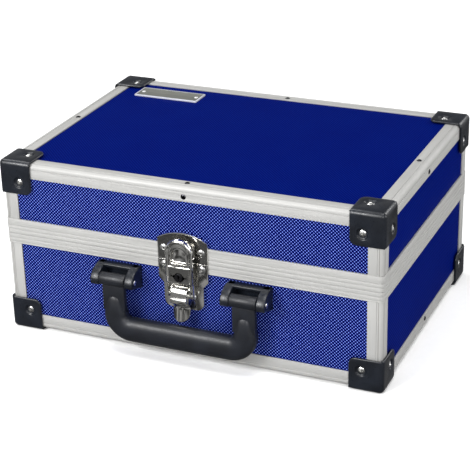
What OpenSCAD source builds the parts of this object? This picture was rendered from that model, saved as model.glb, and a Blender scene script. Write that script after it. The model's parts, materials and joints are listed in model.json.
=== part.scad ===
// Hard tool case: laminate panels in an aluminium frame, with moulded corner caps,
// a swing handle, a key-locked toggle latch and two rear hinges.
// Frame: +Z up, the front looks along -Y, z = 0 is the surface that the feet stand on.

/* [Shell] */
// Width over the flat faces of the frame
case_w = 330; // [280:5:460]
// Depth over the flat faces of the frame
case_d = 232; // [200:2:360]
// Height over the flat faces of the frame
case_h = 150; // [140:1:220]
// Height of the closing line above the underside of the frame
split_h = 86; // [82:1:100]
// Thickness of the panels
panel_t = 3.2; // [2.4:0.2:4.6]

/* [Frame profiles] */
// Length of each outer leg of the edge profile
leg = 12.5; // [11:0.5:14]
// Thickness of the outer legs
wall = 1.2; // [1:0.1:1.6]
// Thickness of the inner lips that hold the panels
lip_t = 1; // [0.8:0.1:1.4]
// How far short of the outer leg the inner lip ends
lip_short = 1.5; // [1:0.25:3]
// Rounding of the outer edge of the profiles
nose_r = 3.5; // [2:0.25:4]
// Width of the fine groove beside the rounded edge
groove_w = 0.8; // [0.4:0.1:1.2]
// Depth of the fine grooves
groove_deep = 0.4; // [0.2:0.05:0.6]

/* [Closing frame] */
// Height of the rim on the base
base_rim_h = 8.5; // [8:0.25:12]
// Height of the rim on the lid
lid_rim_h = 13.4; // [12.5:0.2:16]
// How far the rims stand proud of the profiles
rim_proud = 0.6; // [0.3:0.1:1]
// Thickness of the web between the walls of a rim
web_t = 1.5; // [1:0.1:2]
// Height of the tongue
tongue_h = 3; // [2:0.25:3.5]
// Room at each side of the tongue
tongue_gap = 0.9; // [0.8:0.05:1]
// Room over the tongue
tongue_room = 1.2; // [0.8:0.1:1.6]
// Gap between the closed rims
closing_gap = 0.3; // [0.2:0.05:0.5]
// Distance between the fine grooves round the rims, from the closing line out
rim_groove_at = 3.4; // [3:0.1:3.8]

/* [Corner caps] */
// Reach of a cap along each edge
cap_reach = 27; // [24:0.5:32]
// Thickness of a cap over the profile
cap_t = 2; // [1.5:0.1:2.5]
// Rounding of the outer edges of a cap
cap_edge_r = 4; // [3:0.25:5]
// Rounding of the inner corner of each face of a cap
cap_inner_r = 6; // [4:0.5:9]
// Distance of a cap rivet from both outer faces
cap_rivet_in = 16.5; // [15.5:0.25:19]
// Radius of the dished seat round a cap rivet
cap_seat_r = 4.4; // [4:0.1:5]
// Depth of the dished seat round a cap rivet
cap_seat_deep = 1.1; // [1:0.05:1.2]

/* [Rivets] */
// Head radius of the cap rivets
rivet_head_r = 2.9; // [2.6:0.1:3.3]
// Head radius of the latch rivets
latch_rivet_head_r = 3.3; // [2.8:0.1:3.6]
// Head radius of the profile rivets
edge_rivet_head_r = 2.3; // [2:0.1:2.8]
// Height of the rivet heads
rivet_head_h = 0.9; // [0.6:0.1:1]
// Shank radius
rivet_r = 1.6; // [1.4:0.05:1.8]
// Radius of the hollow left by the mandrel
mandrel_r = 1.2; // [0.8:0.1:1.3]
// Length of the set tail behind the clamped sheets
tail_h = 1.4; // [1:0.1:1.8]
// How much wider the tail is than the shank
tail_r = 0.6; // [0.4:0.1:0.8]
// Clearance of a shank in its hole
rivet_gap = 0.05; // [0.05:0.01:0.1]
// Distance of a profile rivet from the outer faces
edge_rivet_in = 8.5; // [8:0.25:9]

/* [Handle] */
// Sideways place of the handle and the latch
hardware_x = -2; // [-6:0.5:6]
// Distance between the middles of the two brackets
bracket_span = 115; // [105:1:140]
// Width of a bracket
bracket_w = 38; // [34:0.5:42]
// Thickness of the ears
ear_t = 7.4; // [5:0.2:8]
// Top of the bracket below the closing line
bracket_drop = 11; // [10:0.5:16]
// Height of the bracket
bracket_h = 20; // [18:0.5:24]
// Rounding of the ears round the handle pin
ear_r = 5.6; // [5:0.1:6]
// Thickness of the foot plate of the bracket
foot_t = 2.4; // [1.8:0.1:3]
// Depth of the bar that joins the ears at the top
bar_out = 6; // [5:0.25:7]
// Height of the bar that joins the ears at the top
bar_h = 3; // [2.4:0.2:3.4]
// Distance of each bracket rivet from the middle of its bracket
bracket_rivet_x = 6; // [5:0.25:7]
// Distance of the bracket rivets below the top of the bracket
bracket_rivet_drop = 12; // [10:0.5:14]
// Distance of the handle pin from the frame face
pin_out = 13; // [12.5:0.25:14]
// Distance of the handle pin below the top of the bracket
pin_drop = 9.5; // [9.2:0.1:10]
// Radius of the handle pin
handle_pin_r = 2; // [1.5:0.1:2.5]
// How far the handle pin stands out of the ears
handle_pin_proud = 0.6; // [0.3:0.1:1.2]
// Radius of the barrel round the pin
barrel_r = 5.4; // [4.8:0.1:5.6]
// Side clearance of the barrel between the ears
barrel_side_gap = 0.3; // [0.3:0.05:0.6]
// Running clearance on the pins
pin_gap = 0.06; // [0.03:0.01:0.1]
// Width of the grip seen from the front
grip_w = 21; // [17:0.5:22]
// Thickness of the grip
grip_t = 15; // [12:0.5:16]
// Reach of the handle from its pins to the underside of the grip
grip_drop = 54.5; // [50:0.5:56]
// Inner bend radius of the grip
grip_bend_r = 3; // [2.5:0.5:8]
// Width of the strap between barrel and grip
strap_w = 20; // [16:0.5:21]
// Thickness of the strap between barrel and grip
strap_t = 5; // [4:0.25:6]
// How far below the pin the round top of the grip starts
grip_start = 14.5; // [13:0.5:18]
// Radius of the round top of each leg of the grip
grip_top_r = 6.4; // [5:0.2:7]
// Height over which the round top widens into the leg
grip_top_h = 7; // [5:0.5:9]
// Gap between the hanging grip and the frame
grip_gap = 3.5; // [3:0.25:5]

/* [Latch] */
// Half width of the latch plates
plate_half = 22; // [20:0.5:24]
// Half width of the lower plate below its shoulders
neck_half = 17.5; // [16:0.5:19]
// Thickness of the latch plates
plate_t = 1.2; // [1:0.1:1.5]
// Height of the strike plate at its sides, above the closing line
strike_side_h = 18.5; // [16:0.5:21]
// Extra height of the arched top of the strike plate
strike_arch_h = 6.5; // [5:0.5:8]
// Height of the latch base plate below the closing line
base_plate_h = 42; // [40:0.5:48]
// Depth of the shoulders below the closing line
shoulder_drop = 16; // [14:0.5:18]
// Half width of the hasp
hasp_half = 11.8; // [11.6:0.1:12.6]
// Thickness of the hasp plate
hasp_t = 1.6; // [1.2:0.1:2]
// Distance of the back of the hasp from the frame face
hasp_out = 7.4; // [7.2:0.1:8.5]
// Top of the hasp above the closing line
hasp_top = 22; // [20:0.5:23]
// Half width of the arched window in the hasp
window_half = 6.9; // [6:0.1:7.4]
// Underside of the window above the closing line
window_low = 0.6; // [0:0.2:1.5]
// Room between the hook and the hasp in front of it
hook_gap = 0.3; // [0.25:0.05:0.5]
// Rim of the window that the hook leaves free
hook_room = 0.5; // [0.3:0.1:1]
// Wall left round the hollow of the hook
hook_wall = 1.2; // [1:0.1:1.5]
// Depth of the hollow in the face of the hook
hook_dish = 1; // [0.6:0.1:1.4]
// Metal of the ears and arms round a pin
ear_rim = 1.5; // [1.3:0.1:1.7]
// Fixed lever pin below the closing line
lever_pin_drop = 22; // [21:0.25:23]
// Distance of the fixed lever pin from the frame face
lever_pin_out = 6; // [5.8:0.1:6.6]
// Crank between the fixed lever pin and the hasp pin
crank = 5.8; // [5.7:0.1:6.4]
// How far the hasp pin sits behind the fixed pin when closed
over_centre = 0.6; // [0.3:0.1:1]
// Radius of both latch pins
latch_pin_r = 1.1; // [0.9:0.1:1.2]
// Half width of the lever
lever_half = 6.8; // [6.4:0.1:7]
// Thickness of the sheet metal ears and arms of the latch
arm_t = 1.5; // [1.2:0.1:1.6]
// Side clearance between the moving sheets of the latch
latch_side_gap = 0.3; // [0.25:0.05:0.4]
// Length of the finger tail below the fixed pin
tail_len = 28; // [26:0.5:29]
// Radius of the key cylinder
key_r = 3.4; // [3:0.1:3.6]
// Key cylinder below the closing line
key_drop = 10.6; // [10:0.2:11.5]
// Distance of the latch rivets from the sides of the plates
latch_rivet_edge = 5.5; // [4.5:0.1:6.5]
// Radius at the foot of the latch base plate
plate_round = 7; // [4:0.5:8]
// Height of the sloping shoulders of the base plate
shoulder_slope = 5; // [3:0.5:7]
// Width of the rolled border of the hasp
hasp_border_w = 1.8; // [1.2:0.1:2.2]
// Height of the rolled borders of the hasp
hasp_border_h = 0.9; // [0.5:0.1:1.2]
// Height of the lock case above the hasp plate
lock_case_h = 1.6; // [1:0.1:2]
// Distance of the lock case from the sides of the hasp
lock_case_edge = 2.4; // [1.8:0.1:3]
// Radius of the finger hollow in the lever's tail
finger_r = 11; // [9:0.5:13]
// Metal left in front of the fixed pin by the finger hollow
finger_skin = 3; // [2.6:0.1:3.4]
// Distance of the bend in the tail below the hasp pin
lever_knee = 8; // [7:0.5:10]
// Thickness of the finger tail
tail_t = 2; // [1.8:0.1:2.4]
// Metal of the lever round the hasp pin
hasp_pin_rim = 1.3; // [1.1:0.1:1.5]
// Radius of the curved front of the lever
lever_front_r = 8.6; // [8.2:0.1:9]
// Width of the keyway
keyway_w = 1; // [0.8:0.1:1.2]
// Thickness of the key cylinder's collar and cam
key_cam_t = 1.2; // [1:0.1:1.4]

/* [Hinges] */
// Distance of each hinge from the middle of the case
hinge_at = 95; // [80:1:105]
// Width of a hinge
hinge_w = 44; // [36:1:54]
// Height of a hinge leaf
leaf_h = 24; // [20:0.5:28]
// Thickness of a hinge leaf
leaf_t = 1.2; // [1:0.1:1.5]
// Radius of the hinge knuckles
knuckle_r = 3.2; // [3:0.1:3.6]
// Radius of the hinge pin
hinge_pin_r = 1.6; // [1.3:0.1:1.8]
// Distance of the hinge rivets from the middle of the hinge
hinge_rivet_x = 14; // [12:0.5:15]
// Distance of the hinge rivets from the closing line
hinge_rivet_z = 19; // [17:0.5:20]
// Gap between the knuckles
knuckle_gap = 0.3; // [0.3:0.05:0.6]

/* [Label plate] */
// Width of the bare plate
label_w = 62; // [50:1:80]
// Depth of the bare plate
label_d = 21; // [16:1:28]
// Thickness of the bare plate
label_t = 1; // [0.8:0.1:1.4]
// Width of its raised border
label_border = 1.6; // [1.2:0.1:2.2]
// Distance of its pins from its ends
label_pin_in = 4.5; // [4:0.1:6]
// Distance of the plate's middle from the left face of the frame
label_from_left = 59; // [56:1:80]
// Distance of the plate's middle from the back face of the frame
label_from_back = 34; // [28:1:60]

/* [Hidden] */
ARC = 8;
ROUND = 48;
over = 0.5;
channel = wall + panel_t;
inset = channel + lip_t;
lip_reach = leg - lip_short;
pivot_out = rim_proud + knuckle_gap + knuckle_r;
grip_out = grip_gap + grip_t / 2;
front_reach = max(pin_out + ear_r, grip_gap + grip_t);
back_reach = pivot_out + knuckle_r;
shell_y = (front_reach - back_reach) / 2;
hasp_face = hasp_out + hasp_t;
lid_low = split_h + closing_gap;
groove_roof = split_h + tongue_h + tongue_room;
lid_web_top = groove_roof + web_t;
base_rim_low = split_h - base_rim_h;
lid_rim_top = split_h + lid_rim_h;
bracket_top = split_h - bracket_drop;
pin_z = bracket_top - pin_drop;
grip_low = pin_z - grip_drop;
plate_out = rim_proud + plate_t;
key_z = split_h - key_drop;
lever_z = split_h - lever_pin_drop;
hasp_pin_z = lever_z - crank;
hasp_pin_out = lever_pin_out - over_centre;
arch_z = split_h + hasp_top - hasp_half;
window_arch_z = arch_z - hasp_half + window_half + 2;

// ---- Frames of reference ----

// Middle of the frame's underside, with the feet below it
module shell() translate([0, shell_y, cap_t]) children();
// Middle of the front hardware, y = 0 on the frame's front face, -y outwards
module on_front() shell() translate([hardware_x, -case_d / 2, 0]) children();
// A piece on the back instead of the front, or on the right instead of the left
module to_back(flip) mirror([0, flip ? 1 : 0, 0]) children();
module to_right(flip) mirror([flip ? 1 : 0, 0, 0]) children();
// Turned over, so that what was drawn upwards from the base serves the lid
module to_lid(flip) translate([0, 0, flip ? case_h : 0]) mirror([0, 0, flip ? 1 : 0]) children();

function arc(cx, cy, r, a1, a2, n = ARC) =
    [for (i = [0:n]) let (a = a1 + (a2 - a1) * i / n) [cx + r * cos(a), cy + r * sin(a)]];

// ---- Rivets ----

// Drawn along +z out of the face that it clamps, with its tail beyond the grip
module rivet(head_r, grip) {
    dome_r = (head_r * head_r + rivet_head_h * rivet_head_h) / (2 * rivet_head_h);
    difference() {
        union() {
            rotate_extrude($fn = ROUND) polygon(concat([[0, -grip], [rivet_r, -grip], [rivet_r, 0]],
                arc(0, rivet_head_h - dome_r, dome_r, acos(head_r / dome_r), 90, 6)));
            translate([0, 0, -grip - tail_h]) cylinder(h = tail_h, r = rivet_r + tail_r, $fn = ROUND);
        }
        translate([0, 0, -grip / 2]) cylinder(h = grip + rivet_head_h, r = mandrel_r, $fn = ROUND);
    }
}
module rivet_hole(depth) translate([0, 0, -depth])
    cylinder(h = depth + over, r = rivet_r + rivet_gap, $fn = ROUND);

// The rivets of one cap stand on its three faces
module cap_rivet_places() {
    a = cap_rivet_in;
    translate([a, a, 0]) mirror([0, 0, 1]) children();
    translate([a, 0, a]) rotate([90, 0, 0]) children();
    translate([0, a, a]) rotate([0, -90, 0]) children();
}
module at_corner(back, right, lid) to_lid(lid) to_back(back) to_right(right)
    translate([-case_w / 2, -case_d / 2, 0]) children();
module edge_rivet_places_x() {
    translate([0, -case_d / 2, edge_rivet_in]) rotate([90, 0, 0]) children();
    translate([0, edge_rivet_in - case_d / 2, 0]) mirror([0, 0, 1]) children();
}
module edge_rivet_places_y() {
    translate([-case_w / 2, 0, edge_rivet_in]) rotate([0, -90, 0]) children();
    translate([edge_rivet_in - case_w / 2, 0, 0]) mirror([0, 0, 1]) children();
}
// Every hole drilled in the base, or turned over in the lid
module shell_holes(lid) {
    for (back = [false, true], right = [false, true])
        at_corner(back, right, lid) cap_rivet_places() rivet_hole(inset + over);
    for (back = [false, true]) to_lid(lid) to_back(back) edge_rivet_places_x()
        rivet_hole(inset + over);
    for (right = [false, true]) to_lid(lid) to_right(right) edge_rivet_places_y()
        rivet_hole(inset + over);
}
module shell_rivets(lid) color("gainsboro") shell() {
    for (back = [false, true], right = [false, true]) at_corner(back, right, lid)
        cap_rivet_places() translate([0, 0, cap_t - cap_seat_deep])
            rivet(rivet_head_r, channel + cap_t - cap_seat_deep);
    for (back = [false, true]) to_lid(lid) to_back(back) edge_rivet_places_x()
        rivet(edge_rivet_head_r, inset);
    for (right = [false, true]) to_lid(lid) to_right(right) edge_rivet_places_y()
        rivet(edge_rivet_head_r, inset);
}
module base_rivets() shell_rivets(false);
module lid_rivets() shell_rivets(true);

// ---- Panels ----

module panel(low, high, lid, shade = "mediumblue") color(shade) shell() difference() {
    translate(low) cube(high - low);
    shell_holes(lid);
}
module wall_panel(low, high, lid, back) let (y = case_d / 2)
    panel([inset - case_w / 2, back ? y - channel : wall - y, low],
        [case_w / 2 - inset, back ? y - wall : channel - y, high], lid);
module side_panel(low, high, lid, right) let (x = case_w / 2)
    panel([right ? x - channel : wall - x, inset - case_d / 2, low],
        [right ? x - wall : channel - x, case_d / 2 - inset, high], lid);
module flat_panel(low, high, lid)
    panel([inset - case_w / 2, inset - case_d / 2, low], [case_w / 2 - inset, case_d / 2 - inset, high], lid);

module base_front_panel() difference() {
    wall_panel(inset, split_h - web_t, false, false);
    latch_rivet_places(base_rivet_z()) rivet_hole(plate_out + inset + over);
    for (side = [-1, 1]) at_bracket(side) bracket_rivet_places() rivet_hole(foot_t + channel);
}
module base_back_panel() difference() {
    wall_panel(inset, split_h - web_t, false, true);
    for (side = [-1, 1]) at_hinge(side) hinge_rivet_places(-1) rivet_hole(leaf_t + inset + over);
}
module base_left_panel() side_panel(inset, split_h - web_t, false, false);
module base_right_panel() side_panel(inset, split_h - web_t, false, true);
module base_bottom_panel() flat_panel(wall, channel, false);
module lid_front_panel() difference() {
    wall_panel(lid_web_top, case_h - inset, true, false);
    latch_rivet_places(strike_rivet_z()) rivet_hole(plate_out + inset + over);
}
module lid_back_panel() difference() {
    wall_panel(lid_web_top, case_h - inset, true, true);
    for (side = [-1, 1]) at_hinge(side) hinge_rivet_places(1) rivet_hole(leaf_t + inset + over);
}
module lid_left_panel() side_panel(lid_web_top, case_h - inset, true, false);
module lid_right_panel() side_panel(lid_web_top, case_h - inset, true, true);
module lid_top_panel() flat_panel(case_h - channel, case_h - wall, true);

// ---- Edge and corner profiles ----

// Section of the extrusion: two outer legs, a solid corner and two inner lips
module edge_section() difference() {
    union() {
        polygon(concat([[leg, 0], [leg, wall], [wall, wall], [wall, leg], [0, leg]],
            arc(nose_r, nose_r, nose_r, 180, 270)));
        polygon(concat([[inset, wall], [inset, inset], [wall, inset], [wall, wall]]));
        translate([channel, channel]) square([lip_reach - channel, lip_t]);
        translate([channel, channel]) square([lip_t, lip_reach - channel]);
    }
    translate([nose_r + groove_w, -over]) square([groove_w, over + groove_deep]);
    translate([-over, nose_r + groove_w]) square([over + groove_deep, groove_w]);
}
// The same extrusion along the front, along the left side and up the left front corner
module edge_x(lid, back) color("silver") shell() difference() {
    to_lid(lid) to_back(back) translate([-case_w / 2, -case_d / 2, 0]) rotate([90, 0, 90])
        linear_extrude(case_w) edge_section();
    shell_holes(lid);
}
module edge_y(lid, right) color("silver") shell() difference() {
    to_lid(lid) to_right(right) translate([-case_w / 2, case_d / 2 - leg, 0]) rotate([90, 0, 0])
        linear_extrude(case_d - 2 * leg) edge_section();
    shell_holes(lid);
}
module posts(low, high) color("silver") shell()
    for (back = [false, true], right = [false, true]) to_back(back) to_right(right)
        translate([-case_w / 2, -case_d / 2, low]) linear_extrude(high - low) edge_section();

module base_edge_front() edge_x(false, false);
module base_edge_back() edge_x(false, true);
module base_edge_left() edge_y(false, false);
module base_edge_right() edge_y(false, true);
module lid_edge_front() edge_x(true, false);
module lid_edge_back() edge_x(true, true);
module lid_edge_left() edge_y(true, false);
module lid_edge_right() edge_y(true, true);
module base_posts() posts(leg, base_rim_low);
module lid_posts() posts(lid_rim_top, case_h - leg);

// ---- Closing frame ----

// Outline of the case drawn in by d, with round corners
module outline(d) let (x = case_w / 2 - d, y = case_d / 2 - d, r = max(nose_r - d, 0.3))
    polygon(concat(arc(x - r, y - r, r, 0, 90), arc(r - x, y - r, r, 90, 180),
        arc(r - x, r - y, r, 180, 270), arc(x - r, r - y, r, 270, 360)));
module band(from, to, low, high) translate([0, 0, low]) linear_extrude(high - low) difference() {
    outline(from);
    outline(to);
}
module base_rim_ring() {
    tongue_at = wall + tongue_gap;
    difference() {
        band(-rim_proud, wall, base_rim_low, split_h);
        rim_grooves(-1);
    }
    band(wall, inset, split_h - web_t, split_h);
    band(channel, inset, base_rim_low, split_h - web_t);
    band(tongue_at, channel - tongue_gap, split_h, split_h + tongue_h);
}
module lid_rim_ring() difference() {
    union() {
        band(-rim_proud, wall, lid_low, lid_rim_top);
        band(wall, inset, groove_roof, lid_web_top);
        band(channel, inset, lid_low, groove_roof);
        band(channel, inset, lid_web_top, lid_rim_top);
    }
    rim_grooves(1);
}
// Two fine grooves run round each rim, above or below the closing line
module rim_grooves(up) for (n = [1, 2]) let (z = split_h + up * (n * rim_groove_at + groove_w / 2))
    band(-rim_proud - over, groove_deep - rim_proud, z - groove_w / 2, z + groove_w / 2);
// One mitred length of a rim, between two 45 degree cuts
module mitre_x(back) intersection() {
    children();
    to_back(back) linear_extrude(case_h) polygon([[-case_w, -case_w / 2 - case_d / 2],
        [case_w, -case_w / 2 - case_d / 2], [case_w / 2 - case_d / 2, 0], [case_d / 2 - case_w / 2, 0]]);
}
module mitre_y(right) intersection() {
    children();
    to_right(right) linear_extrude(case_h) polygon([[-case_w, case_w / 2 + case_d / 2],
        [case_d / 2 - case_w / 2, 0], [-case_w, -case_w / 2 - case_d / 2]]);
}
module base_rim_front() color("silver") difference() {
    shell() mitre_x(false) base_rim_ring();
    latch_rivet_places(base_rivet_z()) rivet_hole(plate_out + inset + over);
}
module base_rim_back() color("silver") shell() mitre_x(true) base_rim_ring();
module base_rim_left() color("silver") shell() mitre_y(false) base_rim_ring();
module base_rim_right() color("silver") shell() mitre_y(true) base_rim_ring();
module lid_rim_front() color("silver") difference() {
    shell() mitre_x(false) lid_rim_ring();
    latch_rivet_places(strike_rivet_z()) rivet_hole(plate_out + inset + over);
}
module lid_rim_back() color("silver") shell() mitre_x(true) lid_rim_ring();
module lid_rim_left() color("silver") shell() mitre_y(false) lid_rim_ring();
module lid_rim_right() color("silver") shell() mitre_y(true) lid_rim_ring();

// ---- Corner caps ----

// One face of a cap, on the plane z = 0, seen from outside
module cap_face() let (a = cap_reach, r = cap_inner_r)
    polygon(concat([[-cap_t, -cap_t], [a - 2, -cap_t]], arc(a - 2, 2 - cap_t, 2, 270, 360, 4),
        arc(a - r, a - r, r, 0, 90), arc(2 - cap_t, a - 2, 2, 90, 180, 4)));
module cap_block() let (t = cap_t, r = cap_edge_r, far = cap_reach + over) hull() {
    translate([r - t, r - t, r - t]) sphere(r, $fn = 32);
    translate([r - t, r - t, far]) cylinder(r = r, h = 0.01, $fn = 32);
    translate([r - t, far, r - t]) rotate([-90, 0, 0]) cylinder(r = r, h = 0.01, $fn = 32);
    translate([far, r - t, r - t]) rotate([0, 90, 0]) cylinder(r = r, h = 0.01, $fn = 32);
    translate([-t, far, far]) cube(0.01);
    translate([far, -t, far]) cube(0.01);
    translate([far, far, -t]) cube(0.01);
    translate([far, far, far]) cube(0.01);
}
// Three walls round the corner, with a boss under each rivet that reaches the panel
module cap(back, right, lid) color("dimgray") shell() at_corner(back, right, lid) difference() {
    intersection() {
        cap_block();
        union() {
            translate([0, 0, -cap_t]) linear_extrude(cap_t) cap_face();
            rotate([90, 0, 0]) linear_extrude(cap_t) cap_face();
            rotate([0, 0, 90]) rotate([90, 0, 0]) translate([0, 0, -cap_t])
                linear_extrude(cap_t) cap_face();
        }
    }
    cap_rivet_places() union() {
        rivet_hole(inset + over);
        translate([0, 0, -over]) cylinder(h = cap_t + over, r = rivet_r + rivet_gap, $fn = ROUND);
        translate([0, 0, cap_t - cap_seat_deep])
            cylinder(h = over + cap_seat_deep, r = cap_seat_r, $fn = ROUND);
    }
}
module base_cap_front_left() cap(false, false, false);
module base_cap_front_right() cap(false, true, false);
module base_cap_back_left() cap(true, false, false);
module base_cap_back_right() cap(true, true, false);
module lid_cap_front_left() cap(false, false, true);
module lid_cap_front_right() cap(false, true, true);
module lid_cap_back_left() cap(true, false, true);
module lid_cap_back_right() cap(true, true, true);

// ---- Handle ----

module at_bracket(side) on_front() translate([side * bracket_span / 2, 0, 0]) children();
// Side view of an ear, y outwards to the left: it tapers to a round end about the pin
module ear_side() let (low = bracket_top - bracket_h)
    polygon(concat([[wall, low], [wall, bracket_top], [-bar_out, bracket_top]],
        arc(-pin_out, pin_z, ear_r, 75, 250, 14), [[-bar_out, low]]));
module extrude_x(x1, x2) translate([x1, 0, 0]) rotate([90, 0, 90]) linear_extrude(x2 - x1) children();
module pin_bore(r, half) translate([0, -pin_out, pin_z]) rotate([0, 90, 0])
    cylinder(h = 2 * half, r = r, center = true, $fn = ROUND);

module bracket(side) color("dimgray") at_bracket(side) difference() {
    union() {
        for (s = [-1, 1]) translate([s * (bracket_w - ear_t) / 2, 0, 0])
            extrude_x(-ear_t / 2, ear_t / 2) ear_side();
        translate([-bracket_w / 2, wall - foot_t, bracket_top - bracket_h])
            cube([bracket_w, foot_t, bracket_h]);
        translate([-bracket_w / 2, wall - foot_t - bar_out, bracket_top - bar_h])
            cube([bracket_w, bar_out + foot_t, bar_h]);
    }
    pin_bore(handle_pin_r, bracket_w);
    bracket_rivet_places() rivet_hole(foot_t + over);
}
// Two rivets behind the barrel hold the foot of each bracket
module bracket_rivet_places() for (s = [-1, 1])
    translate([s * bracket_rivet_x, wall - foot_t, bracket_top - bracket_rivet_drop])
        rotate([90, 0, 0]) children();
module bracket_rivets() color("gainsboro") for (side = [-1, 1]) at_bracket(side)
    bracket_rivet_places() rivet(edge_rivet_head_r, foot_t + panel_t);
module handle_bracket_left() bracket(-1);
module handle_bracket_right() bracket(1);
module handle_pins() color("gainsboro") for (side = [-1, 1]) at_bracket(side)
    pin_bore(handle_pin_r, bracket_w / 2 + handle_pin_proud);

// Flat-sided oval of the grip, across its width and its thickness
module grip_oval() let (r = grip_t / 2, h = grip_w / 2 - r)
    polygon(concat(arc(h, 0, r, -90, 90, 12), arc(-h, 0, r, 90, 270, 12)));
module grip_half() {
    bend = grip_bend_r + grip_w / 2;
    leg_x = bracket_span / 2;
    bend_z = grip_low + grip_w / 2 + bend;
    // Upright leg, whose round top swells out of the flat strap
    top_z = pin_z - grip_start - grip_top_r;
    translate([leg_x, -grip_out, bend_z]) linear_extrude(top_z - grip_top_h - bend_z) grip_oval();
    translate([leg_x, -grip_out, top_z - grip_top_h]) hull() {
        linear_extrude(0.01) grip_oval();
        translate([0, 0, grip_top_h]) sphere(grip_top_r, $fn = 28);
    }
    translate([leg_x - bend, -grip_out, bend_z]) rotate([90, 0, 0]) rotate([0, 0, -90])
        rotate_extrude(angle = 90, $fn = 64) translate([bend, 0]) grip_oval();
    translate([0, -grip_out, bend_z - bend]) rotate([0, 90, 0]) linear_extrude(leg_x - bend) grip_oval();
    // Flat strap from the leg up to the barrel
    translate([leg_x - strap_w / 2, -pin_out - strap_t / 2, top_z - grip_top_h])
        cube([strap_w, strap_t, pin_z - top_z + grip_top_h]);
}
module handle_grip() color("dimgray") on_front() difference() {
    union() {
        grip_half();
        mirror([1, 0, 0]) grip_half();
        for (side = [-1, 1]) translate([side * bracket_span / 2, 0, 0])
            pin_bore(barrel_r, bracket_w / 2 - ear_t - barrel_side_gap);
    }
    for (side = [-1, 1]) translate([side * bracket_span / 2, 0, 0])
        pin_bore(handle_pin_r + pin_gap, bracket_w);
}

// ---- Latch ----

function latch_rivet_x() = plate_half - latch_rivet_edge;
function strike_rivet_z() = (lid_web_top + lid_rim_top) / 2;
function base_rivet_z() = (base_rim_low + split_h - web_t) / 2;
// Front outlines, x across and z up, drawn in by d
module strike_outline(d = 0) let (top = split_h + strike_side_h, a = strike_arch_h, h = plate_half,
        r = (h * h + a * a) / (2 * a), w = asin((h - d) / (r - d)))
    polygon(concat([[d - h, lid_low], [h - d, lid_low]], arc(0, top + a - r, r - d, 90 - w, 90 + w, 12)));
module base_plate_outline(d = 0) let (low = split_h - base_plate_h + d, h = plate_half - d, n = neck_half - d,
        s = split_h - shoulder_drop + d / 2, r = plate_round, k = s - shoulder_slope)
    polygon(concat([[h, split_h], [-h, split_h], [-h, s], [-n, k]], arc(r - n, low + r, r, 180, 270, 6),
        arc(n - r, low + r, r, 270, 360, 6), [[n, k], [h, s]]));
module extrude_out(from, to) translate([0, -from, 0]) rotate([90, 0, 0]) linear_extrude(to - from) children();
module latch_rivet_places(z) on_front() for (x = [-latch_rivet_x(), latch_rivet_x()])
    translate([x, -plate_out, z]) rotate([90, 0, 0]) children();
module cross_pin(out, z, r, half) translate([0, -out, z]) rotate([0, 90, 0])
    cylinder(h = 2 * half, r = r, center = true, $fn = ROUND);

// Hook of the strike: an arched lug that shows through the window of the hasp
module hook_outline(d) let (r = window_half - d, low = split_h + window_low + d)
    polygon(concat([[-r, low], [r, low]], arc(0, window_arch_z, r, 0, 180, 16)));
module strike_plate() color("lightsteelblue") difference() {
    on_front() difference() {
        union() {
            extrude_out(rim_proud, plate_out) strike_outline();
            // Turned-in border that seats on the panel above the rim
            difference() {
                extrude_out(-wall, rim_proud) strike_outline();
                extrude_out(-wall - over, rim_proud + over) strike_outline(plate_t);
                translate([-case_w, -case_d, 0]) cube([2 * case_w, 2 * case_d, lid_rim_top]);
            }
            extrude_out(rim_proud, hasp_out - hook_gap) hook_outline(hook_room);
        }
        // The hook is pressed hollow, as its face shows
        extrude_out(hasp_out - hook_gap - hook_dish, hasp_out) hook_outline(hook_room + hook_wall);
    }
    latch_rivet_places(strike_rivet_z()) rivet_hole(plate_out + over);
}
module latch_ears(inner) for (s = [-1, 1]) translate([s * (inner + arm_t / 2), 0, 0])
    extrude_x(-arm_t / 2, arm_t / 2) let (r = latch_pin_r + ear_rim)
        polygon(concat([[-rim_proud, lever_z + r + 1], [-rim_proud, lever_z - r]],
            arc(-lever_pin_out, lever_z, r, 270, 90, 12)));
module latch_base_plate() color("lightsteelblue") difference() {
    on_front() difference() {
        union() {
            difference() {
                extrude_out(-wall, plate_out) base_plate_outline();
                extrude_out(-wall - over, rim_proud) base_plate_outline(plate_t);
                translate([-case_w, -rim_proud, base_rim_low]) cube([2 * case_w, case_d, case_h]);
            }
            latch_ears(lever_half + latch_side_gap);
        }
        cross_pin(lever_pin_out, lever_z, latch_pin_r, plate_half);
    }
    latch_rivet_places(base_rivet_z()) rivet_hole(plate_out + over);
}
module latch_rivets() color("gainsboro") latch_rivet_places(base_rivet_z())
    rivet(latch_rivet_head_r, plate_out + inset);
module strike_rivets() color("gainsboro") latch_rivet_places(strike_rivet_z())
    rivet(latch_rivet_head_r, plate_out + inset);
module latch_lever_pin() color("gainsboro") on_front()
    cross_pin(lever_pin_out, lever_z, latch_pin_r, lever_half + latch_side_gap + arm_t + pin_gap);
module latch_hasp_pin() color("gainsboro") on_front()
    cross_pin(hasp_pin_out, hasp_pin_z, latch_pin_r, hasp_half + 0.6);

// Side of the lever, y outwards to the left: curved front, then the tail, then back up to the barrels
module lever_side() let (out = -lever_pin_out, tip = lever_z - tail_len, knee = hasp_pin_z - lever_knee)
    polygon(concat([[out, lever_z + latch_pin_r + ear_rim]],
        arc(out + 1, lever_z - lever_front_r + ear_rim + latch_pin_r, lever_front_r, 110, 200, 8),
        [[out - tail_t, knee], [out - 2 * tail_t, tip], [out - tail_t, tip], [out - 0.2 * tail_t, knee],
         [-hasp_pin_out, hasp_pin_z - latch_pin_r - hasp_pin_rim], [1 - hasp_pin_out, hasp_pin_z],
         [out, lever_z]]));
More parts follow.
